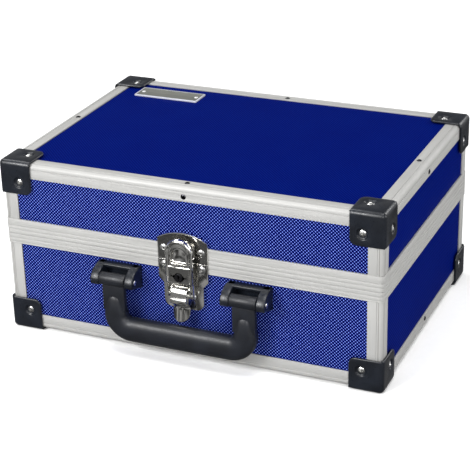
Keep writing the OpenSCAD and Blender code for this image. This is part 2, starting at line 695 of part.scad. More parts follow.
// Lever: two barrels, a curved front and a finger tail with a hollowed face
module latch_lever() color("lightsteelblue") on_front() difference() {
    intersection() {
        extrude_x(-lever_half, lever_half) union() {
            translate([-lever_pin_out, lever_z]) circle(latch_pin_r + ear_rim, $fn = ROUND);
            translate([-hasp_pin_out, hasp_pin_z]) circle(latch_pin_r + hasp_pin_rim, $fn = ROUND);
            lever_side();
        }
        extrude_out(0, plate_half) let (tip = lever_z - tail_len, r = lever_half)
            polygon(concat([[r, split_h], [-r, split_h]], arc(0, tip + r, r, 180, 360, 16)));
    }
    translate([0, -lever_pin_out - finger_r - finger_skin, lever_z - tail_len - over])
        cylinder(h = tail_len / 2, r = finger_r, $fn = ROUND);
    cross_pin(lever_pin_out, lever_z, latch_pin_r + pin_gap, plate_half);
    cross_pin(hasp_pin_out, hasp_pin_z, latch_pin_r, plate_half);
}
// Hasp: an arched plate with a window, a raised lock case and two arms down to its pin
module hasp_outline(d) let (r = hasp_half - d, low = lever_z + 5.5)
    polygon(concat([[-r, low], [r, low]], arc(0, arch_z, r, 0, 180, 20)));
module latch_hasp() color("lightsteelblue") on_front() difference() {
    union() {
        extrude_out(hasp_out, hasp_face) difference() {
            hasp_outline(0);
            hook_outline(0);
        }
        // Rolled border round the arch
        extrude_out(hasp_face, hasp_face + hasp_border_h) difference() {
            hasp_outline(0);
            hasp_outline(hasp_border_w);
        }
        extrude_out(hasp_face, hasp_face + hasp_border_h) difference() {
            hook_outline(-hasp_border_w);
            hook_outline(0);
        }
        // Raised case of the lock
        extrude_out(hasp_out, hasp_face + lock_case_h)
            let (half = hasp_half - lock_case_edge, low = lever_z + 6)
            translate([-half, low]) square([2 * half, split_h - hasp_t - low]);
        for (s = [-1, 1]) translate([s * (hasp_half - arm_t / 2), 0, 0]) extrude_x(-arm_t / 2, arm_t / 2)
            let (top = split_h - 4)
            polygon(concat([[-hasp_face, top], [-hasp_out + arm_t, top]],
                arc(-hasp_pin_out, hasp_pin_z, latch_pin_r + ear_rim, 0, -180, 12), [[-hasp_face, lever_z]]));
    }
    translate([0, 0, key_z]) rotate([90, 0, 0]) cylinder(h = 4 * hasp_out, r = key_r + pin_gap, $fn = ROUND);
    cross_pin(hasp_pin_out, hasp_pin_z, latch_pin_r + pin_gap, plate_half);
}
// Key cylinder with its keyway, a collar behind the hasp and a short cam
module key_cylinder() color("gainsboro") on_front() translate([0, -hasp_out, key_z]) rotate([90, 0, 0])
    let (deep = 2.5 * key_cam_t) difference() {
    union() {
        translate([0, 0, -deep]) cylinder(h = hasp_t + lock_case_h + deep + 0.4, r = key_r, $fn = ROUND);
        translate([0, 0, -key_cam_t - pin_gap]) cylinder(h = key_cam_t, r = key_r + key_cam_t, $fn = ROUND);
        translate([-key_r / 2, 0, -deep - key_cam_t / 2]) cube([key_r, 2 * key_r, key_cam_t]);
    }
    translate([-keyway_w / 2, -0.7 * key_r, hasp_t]) cube([keyway_w, 1.4 * key_r, key_r]);
    translate([0, 0, hasp_t]) cylinder(h = key_r, r = keyway_w, $fn = ROUND);
}

// ---- Hinges ----

module at_hinge(side) shell() translate([side * hinge_at, case_d / 2, split_h]) children();
module knuckle(x1, x2, r) translate([x1, pivot_out, 0]) rotate([0, 90, 0])
    cylinder(h = x2 - x1, r = r, $fn = ROUND);
// A leaf on the rim with its turned-in border on the panel
module leaf(up) let (reach = up > 0 ? lid_rim_h : base_rim_h) {
    translate([-hinge_w / 2, rim_proud, up > 0 ? closing_gap : -leaf_h])
        cube([hinge_w, leaf_t, leaf_h - closing_gap]);
    translate([-hinge_w / 2, -wall, up > 0 ? reach : -leaf_h])
        cube([hinge_w, rim_proud + wall, leaf_h - reach]);
}
module hinge_rivet_places(up) for (x = [-hinge_rivet_x, hinge_rivet_x])
    translate([x, rim_proud + leaf_t, up * hinge_rivet_z]) rotate([-90, 0, 0]) children();
module hinge_rivets_of(up) color("gainsboro") for (side = [-1, 1]) at_hinge(side) hinge_rivet_places(up)
    rivet(edge_rivet_head_r, rim_proud + leaf_t + channel);
module hinge_base_rivets() hinge_rivets_of(-1);
module hinge_lid_rivets() hinge_rivets_of(1);
module hinge_leaf_solid(up, spans, clear) difference() {
    union() {
        leaf(up);
        for (s = spans) {
            knuckle(s[0], s[1], knuckle_r);
            translate([s[0], rim_proud, min(0, up * 4)]) cube([s[1] - s[0], leaf_t, 4]);
        }
    }
    for (s = clear) knuckle(s[0] - knuckle_gap, s[1] + knuckle_gap, knuckle_r + knuckle_gap);
    knuckle(-hinge_w, hinge_w, up > 0 ? hinge_pin_r + pin_gap : hinge_pin_r);
    hinge_rivet_places(up) rivet_hole(rim_proud + leaf_t + wall + over);
}
function mid_span() = [[-hinge_w / 6, hinge_w / 6]];
function end_spans() = [[-hinge_w / 2, -hinge_w / 6 - knuckle_gap], [hinge_w / 6 + knuckle_gap, hinge_w / 2]];
module hinge_base_leaves() color("gainsboro") for (side = [-1, 1]) at_hinge(side)
    hinge_leaf_solid(-1, end_spans(), mid_span());
module hinge_lid_leaves() color("gainsboro") for (side = [-1, 1]) at_hinge(side)
    hinge_leaf_solid(1, mid_span(), end_spans());
module hinge_pins() color("silver") for (side = [-1, 1]) at_hinge(side)
    knuckle(-hinge_w / 2, hinge_w / 2, hinge_pin_r);

// ---- Label plate ----

module at_label() shell()
    translate([label_from_left - case_w / 2, case_d / 2 - label_from_back, case_h - wall]) children();
module label_pin_places() for (s = [-1, 1])
    translate([s * (label_w / 2 - label_pin_in), 0, 0]) children();
module label_plate() color("silver") at_label() difference() {
    translate([-label_w / 2, -label_d / 2, 0]) cube([label_w, label_d, label_t + 0.5]);
    translate([label_border - label_w / 2, label_border - label_d / 2, label_t])
        cube([label_w - 2 * label_border, label_d - 2 * label_border, label_t]);
    label_pin_places() translate([0, 0, -over]) cylinder(h = label_t + 1, r = 1.2, $fn = ROUND);
}
module label_pins() color("gainsboro") at_label() label_pin_places() {
    cylinder(h = label_t, r = 1.15, $fn = ROUND);
    translate([0, 0, label_t]) cylinder(h = 0.5, r = 1.8, $fn = ROUND);
}

base_front_panel();
base_back_panel();
base_left_panel();
base_right_panel();
base_bottom_panel();
base_edge_front();
base_edge_back();
base_edge_left();
base_edge_right();
base_posts();
base_rim_front();
base_rim_back();
base_rim_left();
base_rim_right();
base_cap_front_left();
base_cap_front_right();
base_cap_back_left();
base_cap_back_right();
base_rivets();
handle_bracket_left();
handle_bracket_right();
handle_pins();
handle_grip();
latch_base_plate();
latch_rivets();
latch_lever_pin();
latch_lever();
latch_hasp_pin();
latch_hasp();
key_cylinder();
hinge_base_leaves();
hinge_pins();
lid_top_panel();
lid_front_panel();
lid_back_panel();
lid_left_panel();
lid_right_panel();
lid_edge_front();
lid_edge_back();
lid_edge_left();
lid_edge_right();
lid_posts();
lid_rim_front();
lid_rim_back();
lid_rim_left();
lid_rim_right();
lid_cap_front_left();
lid_cap_front_right();
lid_cap_back_left();
lid_cap_back_right();
lid_rivets();
strike_plate();
strike_rivets();
label_plate();
label_pins();
hinge_lid_leaves();
bracket_rivets();
hinge_base_rivets();
hinge_lid_rivets();
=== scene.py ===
import json
import math

import bmesh
import bpy
from mathutils import Matrix, Vector


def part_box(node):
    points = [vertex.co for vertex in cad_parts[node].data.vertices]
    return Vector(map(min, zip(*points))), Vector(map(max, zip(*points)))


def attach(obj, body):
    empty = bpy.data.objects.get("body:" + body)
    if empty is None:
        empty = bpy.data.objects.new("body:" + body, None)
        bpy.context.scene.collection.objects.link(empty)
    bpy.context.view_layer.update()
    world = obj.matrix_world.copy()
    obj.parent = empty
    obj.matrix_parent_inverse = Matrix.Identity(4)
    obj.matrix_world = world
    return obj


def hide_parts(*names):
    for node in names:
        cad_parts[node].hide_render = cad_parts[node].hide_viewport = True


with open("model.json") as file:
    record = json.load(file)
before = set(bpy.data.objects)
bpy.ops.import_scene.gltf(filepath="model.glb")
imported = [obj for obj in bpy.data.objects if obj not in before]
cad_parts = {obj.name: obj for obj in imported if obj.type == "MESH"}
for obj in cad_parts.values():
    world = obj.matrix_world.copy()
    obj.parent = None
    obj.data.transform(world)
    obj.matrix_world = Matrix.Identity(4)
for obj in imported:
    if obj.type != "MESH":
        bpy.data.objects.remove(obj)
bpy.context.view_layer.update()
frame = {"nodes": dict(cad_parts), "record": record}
MM = 0.001

# ---------------------------------------------------------------------------
# The viewpoint: the case is seen from the front and a little from the right,
# from above, through a long lens about 1.3 m away.
# ---------------------------------------------------------------------------
CAMERA_AT = (0.4754, -1.0814, 0.5961)
CAMERA_AZIMUTH = 23.976
CAMERA_ELEVATION = 24.237
CAMERA_ROLL = -1.556
FOCAL_PX = 1494.8
FRAME_PX = 470
SENSOR = 36.0

camera_data = bpy.data.cameras.new("camera")
camera_data.sensor_width = SENSOR
camera_data.lens = FOCAL_PX * SENSOR / FRAME_PX
camera_data.clip_end = 20.0
camera = bpy.data.objects.new("camera", camera_data)
bpy.context.scene.collection.objects.link(camera)
camera.matrix_world = (
    Matrix.Translation(CAMERA_AT)
    @ Matrix.Rotation(math.radians(CAMERA_AZIMUTH), 4, "Z")
    @ Matrix.Rotation(math.radians(90 - CAMERA_ELEVATION), 4, "X")
    @ Matrix.Rotation(math.radians(CAMERA_ROLL), 4, "Z")
)
bpy.context.scene.camera = camera
bpy.context.scene.view_settings.view_transform = "Standard"

# ---------------------------------------------------------------------------
# The studio: soft lamps round a pale floor of card, under an even ceiling, in
# a dim room with a pale wall low down all round it.
# ---------------------------------------------------------------------------


CASE_MIDDLE = (0.0, 0.0, 0.07)


def hang(name, data, place, towards):
    data.name = name
    lamp = bpy.data.objects.new(name, data)
    lamp.location = place
    lamp.rotation_euler = (Vector(towards) - Vector(place)).to_track_quat("-Z", "Y").to_euler()
    bpy.context.scene.collection.objects.link(lamp)


def soft_lamp(name, place, wide, watts, towards=CASE_MIDDLE, high=None):
    data = bpy.data.lights.new(name, "AREA")
    data.shape = "RECTANGLE"
    data.size = wide
    data.size_y = high or wide
    data.energy = watts
    hang(name, data, place, towards)


soft_lamp("key_light", (-0.7, -1.4, 1.0), 0.7, 30.0)
soft_lamp("front_light", (0.9, -1.5, 0.8), 0.9, 14.0)
soft_lamp("side_light", (1.6, 0.1, 0.6), 0.8, 9.0)
soft_lamp("low_light", (-0.45, -1.3, 0.44), 0.85, 1.7, (0.0, 0.0, 0.03), 0.24)
soft_lamp("back_light", (1.0, 1.6, 1.1), 0.8, 12.0)
soft_lamp("far_light", (-1.3, 0.5, 2.0), 1.0, 20.0, (-0.7, 0.9, 0.0))
ceiling = bpy.data.lights.new("ceiling_light", "SUN")
ceiling.energy = 1.6
ceiling.angle = math.radians(27)
hang("ceiling_light", ceiling, (0.1, -0.2, 1.7), CASE_MIDDLE)


class Nodes:
    """Short ways to add nodes to a tree."""

    def __init__(self, tree):
        self.tree = tree

    def node(self, kind, **values):
        made = self.tree.nodes.new(kind)
        for key, value in values.items():
            if key in made.inputs:
                made.inputs[key].default_value = value
            else:
                setattr(made, key, value)
        return made

    def link(self, source, target):
        self.tree.links.new(source, target)

    def place(self):
        """Object coordinates, in metres."""
        return self.node("ShaderNodeTexCoord").outputs["Object"]

    def axes(self, vector):
        split = self.node("ShaderNodeSeparateXYZ")
        self.link(vector, split.inputs[0])
        return split.outputs

    def noise(self, where, scale, detail=2.0):
        made = self.node("ShaderNodeTexNoise", Scale=scale, Detail=detail)
        self.link(where, made.inputs["Vector"])
        return made.outputs["Fac"]

    def span(self, value, low, high, start=0.0, end=1.0):
        """value between start and end, spread from low to high."""
        made = self.node("ShaderNodeMapRange")
        self.link(value, made.inputs["Value"])
        made.inputs["From Min"].default_value = start
        made.inputs["From Max"].default_value = end
        made.inputs["To Min"].default_value = low
        made.inputs["To Max"].default_value = high
        return made.outputs["Result"]

    def math(self, operation, first, second=0.5):
        made = self.node("ShaderNodeMath", operation=operation)
        for socket, value in zip(made.inputs, (first, second)):
            if isinstance(value, (int, float)):
                socket.default_value = value
            else:
                self.link(value, socket)
        return made.outputs["Value"]

    def mix(self, mask, first, second):
        """first where the mask is 0, second where it is 1; each is a colour or a socket."""
        made = self.node("ShaderNodeMix", data_type="RGBA")
        self.link(mask, made.inputs["Factor"])
        for socket, value in ((made.inputs[6], first), (made.inputs[7], second)):
            if isinstance(value, tuple):
                socket.default_value = (*value, 1.0)
            else:
                self.link(value, socket)
        return made.outputs[2]


# Plated metal mirrors the room, so its upper part is uneven, and its wall is pale
# behind the case and dimmer behind the camera
world = bpy.data.worlds.new("studio")
world.use_nodes = True
room = Nodes(world.node_tree)
direction = room.node("ShaderNodeTexCoord").outputs["Generated"]
patches = room.span(room.noise(direction, 3.2, 1.0), 0.025, 0.32, 0.44, 0.62)
facing = room.axes(direction)
wall = room.span(room.math("ABSOLUTE", facing["Z"]), 0.6, 0.0, 0.1, 0.24)
wall_tone = room.math("MULTIPLY", wall, room.span(facing["Y"], 0.3, 1.0, -0.6, 0.2))
room_tone = room.math("MAXIMUM", patches, wall_tone)
room.link(room_tone, world.node_tree.nodes["Background"].inputs["Color"])
bpy.context.scene.world = world


class Finish(Nodes):
    """A material under construction, with its Principled shader."""

    def __init__(self, name, color, roughness, metallic=0.0, **sockets):
        self.material = bpy.data.materials.new(name)
        self.material.use_nodes = True
        super().__init__(self.material.node_tree)
        self.shader = self.tree.nodes["Principled BSDF"]
        self.shader.inputs["Base Color"].default_value = (*color, 1.0)
        self.shader.inputs["Roughness"].default_value = roughness
        self.shader.inputs["Metallic"].default_value = metallic
        for socket, value in sockets.items():
            self.shader.inputs[socket.replace("_", " ")].default_value = value

    def bump(self, height, depth, distance=0.0002):
        made = self.node("ShaderNodeBump", Strength=depth, Distance=distance)
        self.link(height, made.inputs["Height"])
        self.link(made.outputs["Normal"], self.shader.inputs["Normal"])

    def feed(self, socket, value):
        self.link(value, self.shader.inputs[socket])

    def use(self, effect, **values):
        """Places a shared effect; gives its outputs."""
        return self.node("ShaderNodeGroup", node_tree=effect.tree, **values)


card = Finish("floor_card", (0.95, 0.95, 0.95), 0.9, Specular_IOR_Level=0.1)
card_grain = card.noise(card.place(), 180.0)
card.feed("Base Color", card.mix(card_grain, (0.93, 0.93, 0.93), (0.97, 0.97, 0.97)))
FLOOR_SIZE = 12.0
bpy.ops.mesh.primitive_plane_add(size=FLOOR_SIZE, location=(0, 0, 0))
floor = bpy.context.object
floor.name = "floor"
floor.data.materials.append(card.material)
floor.visible_glossy = False

# ---------------------------------------------------------------------------
# Aluminium frame: extruded edge and corner profiles and the two closing rims,
# mitred, natural anodised. Fine die lines run along each length, and an
# upright has a grey line of painted shade along a fine step beside its
# rounded corner.
# ---------------------------------------------------------------------------
DIE_LINES = 2600.0
ALONG = 6.0
DULL_SILVER = (0.385, 0.383, 0.372)
CLEAR_SILVER = (0.425, 0.422, 0.411)
# Grey of the painted shade line beside an upright's corner
STEP_SHADE_GREY = (0.22, 0.215, 0.2)
STEP_FROM_EDGE = 3.3 * MM
MERGE_WITHIN = 2e-6
FLAT_WITHIN = math.radians(1.0)
SHARP_FROM = math.radians(28.0)
SHADE_SHARP_FROM = 35.0
PROFILE_EDGE = 0.15 * MM


class Effect(Nodes):
    """A shader node group that several finishes use."""

    def __init__(self, name, inputs, outputs):
        super().__init__(bpy.data.node_groups.new(name, "ShaderNodeTree"))
        for label, kind in inputs.items():
            self.tree.interface.new_socket(label, in_out="INPUT", socket_type=kind)
        for label in outputs:
            self.tree.interface.new_socket(label, in_out="OUTPUT", socket_type="NodeSocketFloat")
        self.given = self.node("NodeGroupInput").outputs
        self.result = self.node("NodeGroupOutput").inputs

    def give(self, label, value):
        self.link(value, self.result[label])


fine_lines = Effect("fine_lines", {"Spread": "NodeSocketVector"}, ("Lines", "Clouds"))
stretched = fine_lines.node("ShaderNodeVectorMath", operation="MULTIPLY")
fine_lines.link(fine_lines.place(), stretched.inputs[0])
fine_lines.link(fine_lines.given["Spread"], stretched.inputs[1])
fine_lines.give("Lines", fine_lines.noise(stretched.outputs["Vector"], 1.0, 3.0))
fine_lines.give("Clouds", fine_lines.noise(fine_lines.place(), 45.0))

from_middle = Effect("from_middle", {"Middle": "NodeSocketVector"}, ("X", "Y"))
offset = from_middle.node("ShaderNodeVectorMath", operation="SUBTRACT")
from_middle.link(from_middle.place(), offset.inputs[0])
from_middle.link(from_middle.given["Middle"], offset.inputs[1])
for axis, value in zip("XY", from_middle.axes(offset.outputs["Vector"])):
    from_middle.give(axis, from_middle.math("ABSOLUTE", value))


def middle_and_half(node):
    low, high = (Vector(corner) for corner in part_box(node))
    return (low + high) / 2, (high - low) / 2


def extruded_aluminium(name, spread, dull=DULL_SILVER, clear=CLEAR_SILVER):
    """Gives the finish and its colour, which more can be laid on."""
    metal = Finish(name, clear, 0.6, 0.4)
    grain = metal.use(fine_lines, Spread=spread).outputs
    metal.feed("Roughness", metal.span(grain["Lines"], 0.54, 0.68, 0.3, 0.7))
    metal.bump(grain["Lines"], 0.06, 0.0001)
    color = metal.mix(grain["Clouds"], dull, clear)
    metal.feed("Base Color", color)
    return metal, color


metal_x, _ = extruded_aluminium("aluminium_along_width", (ALONG, DIE_LINES, DIE_LINES))
metal_y, _ = extruded_aluminium("aluminium_along_depth", (DIE_LINES, ALONG, DIE_LINES))
metal_z, anodised = extruded_aluminium("aluminium_upright", (DIE_LINES, DIE_LINES, ALONG))
middle, half = middle_and_half("base_posts")
away = metal_z.use(from_middle, Middle=middle).outputs
# Grey lines beside the uprights' corners: painted shade along a fine step
step_shade_lines = []
for axis, reach in zip("XY", half):
    off = metal_z.math("ABSOLUTE", metal_z.math("SUBTRACT", away[axis], reach - STEP_FROM_EDGE))
    step_shade_lines.append(metal_z.span(off, 1.0, 0.0, 0.15 * MM, 0.4 * MM))
metal_z.feed("Base Color", metal_z.mix(metal_z.math("MAXIMUM", *step_shade_lines), anodised, STEP_SHADE_GREY))

body_of = {
    node: body
    for body, members in frame["record"]["behaviour"]["bodies"].items()
    for node in members
}


def fitted(bm, name, slot, finish, sharp, *nodes):
    """Makes a shaped bmesh a piece that stands for the named solids."""
    for face in bm.faces:
        face.smooth = True
    mesh = bpy.data.meshes.new(name)
    bm.to_mesh(mesh)
    bm.free()
    mesh.materials.append(finish.material)
    mesh.set_sharp_from_angle(angle=math.radians(sharp))
    piece = bpy.data.objects.new(name, mesh)
    bpy.context.scene.collection.objects.link(piece)
    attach(piece, body_of[nodes[0]])
    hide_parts(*nodes)


def rounded_copy(node, edge, slot, finish, steps=2):
    """A copy of a solid with its loose triangles merged and its sharp edges rounded."""
    bm = bmesh.new()
    bm.from_mesh(frame["nodes"][node].data)
    bmesh.ops.remove_doubles(bm, verts=bm.verts, dist=MERGE_WITHIN)
    bmesh.ops.dissolve_limit(
        bm, angle_limit=FLAT_WITHIN, verts=bm.verts, edges=bm.edges, delimit={"NORMAL"}
    )
    sharp = [e for e in bm.edges if e.is_manifold and e.calc_face_angle() > SHARP_FROM]
    bmesh.ops.bevel(
        bm, geom=sharp, offset=edge, offset_type="OFFSET", affect="EDGES", segments=steps,
        profile=0.5, material=-1, clamp_overlap=False,
    )
    for face in bm.faces:
        face.material_index = 0
    bmesh.ops.triangulate(bm, faces=[f for f in bm.faces if len(f.verts) > 4])
    fitted(bm, node + "_finished", slot, finish, SHADE_SHARP_FROM, node)


for part in ("base", "lid"):
    for profile in ("edge", "rim"):
        for metal, sides in ((metal_x, ("front", "back")), (metal_y, ("left", "right"))):
            for side in sides:
                rounded_copy(f"{part}_{profile}_{side}", PROFILE_EDGE, "satin_aluminium", metal)
    rounded_copy(f"{part}_posts", PROFILE_EDGE, "satin_aluminium", metal_z)

# ---------------------------------------------------------------------------
# Panels: board faced with blue laminate, which is embossed all over with a
# diagonal lattice of fine dots between pits, and lined with black paper.
# The dots carry painted highlights and the pits painted shade, strong on the
# front and back and faint on the other sides.
# ---------------------------------------------------------------------------
DOT_PITCH = 2.86 * MM
FACING = 0.4 * MM
DEEP_BLUE = (0.0004, 0.002, 0.085)
CLEAR_BLUE = (0.0008, 0.006, 0.11)
# Dot and pit colours for each side: painted highlight on the dots and painted shade in the pits,
# strong on the front and back, faint elsewhere
STRONG_PAINTED_LIGHT = ((0.195, 0.28, 0.79), (0.0003, 0.0006, 0.02))
FAINT_PAINTED_LIGHT = ((0.002, 0.02, 0.2), (0.0005, 0.003, 0.07))
LINING = (0.035, 0.035, 0.04)

lattice = Effect(
    "embossed_lattice", {"Across": "NodeSocketFloat", "Up": "NodeSocketFloat"},
    ("Relief", "HighlitDots", "ShadedPits", "Clouds"),
)
waves = []
for operation, weight in (("ADD", 0.6), ("SUBTRACT", 0.4)):
    diagonal = lattice.math(operation, lattice.given["Across"], lattice.given["Up"])
    wave = lattice.math("COSINE", lattice.math("MULTIPLY", diagonal, 2 * math.pi / DOT_PITCH))
    waves.append(lattice.math("MULTIPLY", wave, weight))
relief = lattice.math("ADD", *waves)
lattice.give("Relief", relief)
# The dot mask carries a painted highlight, the pit mask painted shade
lattice.give("HighlitDots", lattice.span(relief, 0.0, 1.0, 0.46, 0.9))
lattice.give("ShadedPits", lattice.span(relief, 1.0, 0.0, -0.55, 0.1))
lattice.give("Clouds", lattice.noise(lattice.place(), 30.0))


def embossed_laminate(name, across, up, through, outward, outer, tones):
    """The laminate faces outward along the through axis from its outer level."""
    dot_highlight, pit_shade = tones
    sheet = Finish(name, CLEAR_BLUE, 0.32, Specular_IOR_Level=0.004, IOR=1.4)
    place = sheet.axes(sheet.place())
    pattern = sheet.use(lattice)
    sheet.link(place[across], pattern.inputs["Across"])
    sheet.link(place[up], pattern.inputs["Up"])
    ground = sheet.mix(pattern.outputs["Clouds"], DEEP_BLUE, CLEAR_BLUE)
    # Painted shade in the pits, then painted highlights on the dots
    pit_shaded = sheet.mix(pattern.outputs["ShadedPits"], ground, pit_shade)
    dot_lit = sheet.mix(pattern.outputs["HighlitDots"], pit_shaded, dot_highlight)
    level = sheet.math("MULTIPLY", place[through], outward)
    inside = sheet.math("LESS_THAN", level, outer - FACING)
    sheet.feed("Base Color", sheet.mix(inside, dot_lit, LINING))
    sheet.bump(pattern.outputs["Relief"], 0.12, 0.0003)
    return sheet


PANEL_FACES = {
    "front": ("X", "Z", "Y", -1, STRONG_PAINTED_LIGHT),
    "back": ("X", "Z", "Y", 1, STRONG_PAINTED_LIGHT),
    "left": ("Y", "Z", "X", -1, FAINT_PAINTED_LIGHT),
    "right": ("Y", "Z", "X", 1, FAINT_PAINTED_LIGHT),
    "top": ("X", "Y", "Z", 1, FAINT_PAINTED_LIGHT),
    "bottom": ("X", "Y", "Z", -1, FAINT_PAINTED_LIGHT),
}
for node, panel in frame["nodes"].items():
    if node.endswith("_panel"):
        across, up, through, outward, tones = PANEL_FACES[node.split("_")[1]]
        outer = max(corner["XYZ".index(through)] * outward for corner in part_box(node))
        laminate = embossed_laminate("laminate_" + node, across, up, through, outward, outer, tones)
        panel.data.materials.clear()
        panel.data.materials.append(laminate.material)

# ---------------------------------------------------------------------------
# Corner caps: eight black mouldings with a fine spark grain, worn a little
# greyer where hands and floors rub them.
# ---------------------------------------------------------------------------
moulded_grain = Effect("moulded_grain", {"Grain": "NodeSocketFloat"}, ("Fine", "Rubbed"))
spark = moulded_grain.noise(moulded_grain.place(), 1.0, 3.0)
moulded_grain.link(moulded_grain.given["Grain"], spark.node.inputs["Scale"])
moulded_grain.give("Fine", spark)
wear = moulded_grain.noise(moulded_grain.place(), 60.0, 4.0)
moulded_grain.give("Rubbed", moulded_grain.span(wear, 0.0, 1.0, 0.4, 0.75))


def black_moulding(name, color, roughness, grain):
    plastic = Finish(name, color, roughness)
    surface = plastic.use(moulded_grain, Grain=grain).outputs
    rubbed = tuple(2.0 * c for c in color)
    plastic.feed("Base Color", plastic.mix(surface["Rubbed"], color, rubbed))
    smoothest, roughest = roughness - 0.06, roughness + 0.12
    plastic.feed("Roughness", plastic.span(surface["Fine"], smoothest, roughest, 0.3, 0.7))
    plastic.bump(surface["Fine"], 0.3, 0.00012)
    return plastic


CAP_EDGE = 1.0 * MM
cap_black = black_moulding("cap_moulding", (0.004, 0.0055, 0.009), 0.32, 900.0)
for part in ("base", "lid"):
    for corner in ("front_left", "front_right", "back_left", "back_right"):
        rounded_copy(f"{part}_cap_{corner}", CAP_EDGE, "black_moulding", cap_black, 3)

# ---------------------------------------------------------------------------
# Rivets and pins: steel, pulled up with a hollow mandrel. Those through the
# caps and the hardware are bright plated; the small ones along the rails are
# painted dark, as painted shade.
# ---------------------------------------------------------------------------
BRIGHT_STEEL = (0.72, 0.72, 0.71)
# Colour of the rivets along the rails: painted shade
RAIL_RIVET_SHADE = (0.045, 0.045, 0.05)
RAIL_PART = 0.7
RIVET_EDGE = 0.12 * MM

mottle = Effect("plating_mottle", {}, ("Coarse", "Fine"))
mottle.give("Coarse", mottle.noise(mottle.place(), 400.0))
mottle.give("Fine", mottle.noise(mottle.place(), 900.0))


def plated_steel(name, color, roughness):
    steel = Finish(name, color, roughness, 1.0)
    surface = steel.use(mottle).outputs
    steel.feed("Roughness", steel.span(surface["Coarse"], roughness - 0.06, roughness + 0.1))
    steel.bump(surface["Fine"], 0.08, 0.0001)
    return steel


frame_rivet = plated_steel("frame_rivet", BRIGHT_STEEL, 0.26)
middle, half = middle_and_half("base_rivets")
away = frame_rivet.use(from_middle, Middle=middle).outputs
reach = [frame_rivet.math("DIVIDE", away[axis], size) for axis, size in zip("XY", half)]
on_rail = frame_rivet.math("LESS_THAN", frame_rivet.math("MINIMUM", *reach), RAIL_PART)
# The rivets along the rails are painted dark: painted shade
frame_rivet.feed("Base Color", frame_rivet.mix(on_rail, BRIGHT_STEEL, RAIL_RIVET_SHADE))
for node in ("base_rivets", "lid_rivets"):
    rounded_copy(node, RIVET_EDGE, "rivet_steel", frame_rivet)

rivet_steel = plated_steel("rivet_steel", BRIGHT_STEEL, 0.26)
for node in (
    "latch_rivets", "strike_rivets", "bracket_rivets", "hinge_base_rivets", "hinge_lid_rivets",
    "handle_pins", "hinge_pins",
):
    rounded_copy(node, RIVET_EDGE, "rivet_steel", rivet_steel)

# ---------------------------------------------------------------------------
# Hinges: two at the back, each a pair of zinc plated steel leaves rolled round
# one pin, and riveted to the base and to the lid.
# ---------------------------------------------------------------------------
zinc_steel = plated_steel("zinc_steel", (0.62, 0.63, 0.65), 0.34)
for node in ("hinge_base_leaves", "hinge_lid_leaves"):
    rounded_copy(node, 0.2 * MM, "zinc_steel", zinc_steel)

# ---------------------------------------------------------------------------
# Handle brackets: black mouldings riveted to the panel. Two thick ears curve
# out from a foot and a top bar, and hold the steel pin of the handle.
# ---------------------------------------------------------------------------
BRACKET_AT = {"left": -57.5, "right": 57.5}
BRACKET_HALF = 19.0
PRESSING_SHARP_FROM = 38.0
EAR_THICK = 7.4
# Outline of an ear in its side view: out, up
EAR_SIDE = [
    (-1.2, 75.0), (4.0, 75.0), (8.0, 74.4), (11.6, 73.0), (14.6, 71.0), (17.0, 68.4), (18.3, 66.0),
    (18.5, 63.8), (17.8, 61.8), (16.2, 60.4), (13.8, 59.7), (10.0, 58.9), (5.0, 57.2), (-1.2, 55.0),
]

# The hardware on the front is modelled in millimetres: x across from the middle of the
# latch, y out from the frame, z up from the frame's foot
HASP_MIDDLE, _ = middle_and_half("latch_hasp")
FRAME_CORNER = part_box("base_edge_front")[0]
AT_FRONT = Matrix.Translation(
    (HASP_MIDDLE.x, FRAME_CORNER[1], FRAME_CORNER[2])
) @ Matrix.Diagonal((MM, -MM, MM, 1.0))
ACROSS = Matrix.Rotation(math.radians(90), 4, "Y")


def faces_in(geometry):
    return [item for item in geometry if isinstance(item, bmesh.types.BMFace)]


def once(items):
    """Each item once, in the order given."""
    return list(dict.fromkeys(items))


def softened(bm, faces, width, steps=3):
    """Rounds the edges of the given faces."""
    rims = once(e for face in faces for e in face.edges)
    bmesh.ops.bevel(
        bm, geom=rims, offset=width, offset_type="OFFSET", affect="EDGES", segments=steps,
        profile=0.5, material=-1, clamp_overlap=True,
    )


def thickened(bm, face, thick, width, steps):
    """Makes a face in a side plane a plate, with both its rims rounded."""
    grown = bmesh.ops.extrude_face_region(bm, geom=[face], use_keep_orig=True)["geom"]
    moved = [item for item in grown if isinstance(item, bmesh.types.BMVert)]
    bmesh.ops.translate(bm, vec=(thick, 0, 0), verts=moved)
    softened(bm, [face] + faces_in(grown), width, steps)


def soft_block(bm, low, high, width, steps=2):
    """A block between two corners with rounded edges."""
    middle = [(a + b) / 2 for a, b in zip(low, high)]
    size = [b - a for a, b in zip(low, high)]
    made = bmesh.ops.create_cube(
        bm, size=1.0, matrix=Matrix.Translation(middle) @ Matrix.Diagonal((*size, 1.0))
    )["verts"]
    softened(bm, once(face for vert in made for face in vert.link_faces), width, steps)


def front_piece(bm, name, slot, finish, *nodes):
    """Places a bmesh modelled in millimetres on the front."""
    bmesh.ops.transform(bm, matrix=AT_FRONT, verts=bm.verts)
    bmesh.ops.recalc_face_normals(bm, faces=bm.faces)
    fitted(bm, name, slot, finish, PRESSING_SHARP_FROM, *nodes)


for side, middle in BRACKET_AT.items():
    bracket = bmesh.new()
    low, high = middle - BRACKET_HALF, middle + BRACKET_HALF
    for x in (low, high - EAR_THICK):
        ear = bracket.faces.new([bracket.verts.new((x, y, z)) for y, z in EAR_SIDE])
        thickened(bracket, ear, EAR_THICK, 0.9, 3)
    soft_block(bracket, (low + 1, -1.2, 55.2), (high - 1, 1.2, 74.8), 0.4)
    soft_block(bracket, (low + 1, -1.0, 71.9), (high - 1, 6.6, 75.0), 0.9, 3)
    front_piece(bracket, f"bracket_{side}", "black_moulding", cap_black, f"handle_bracket_{side}")

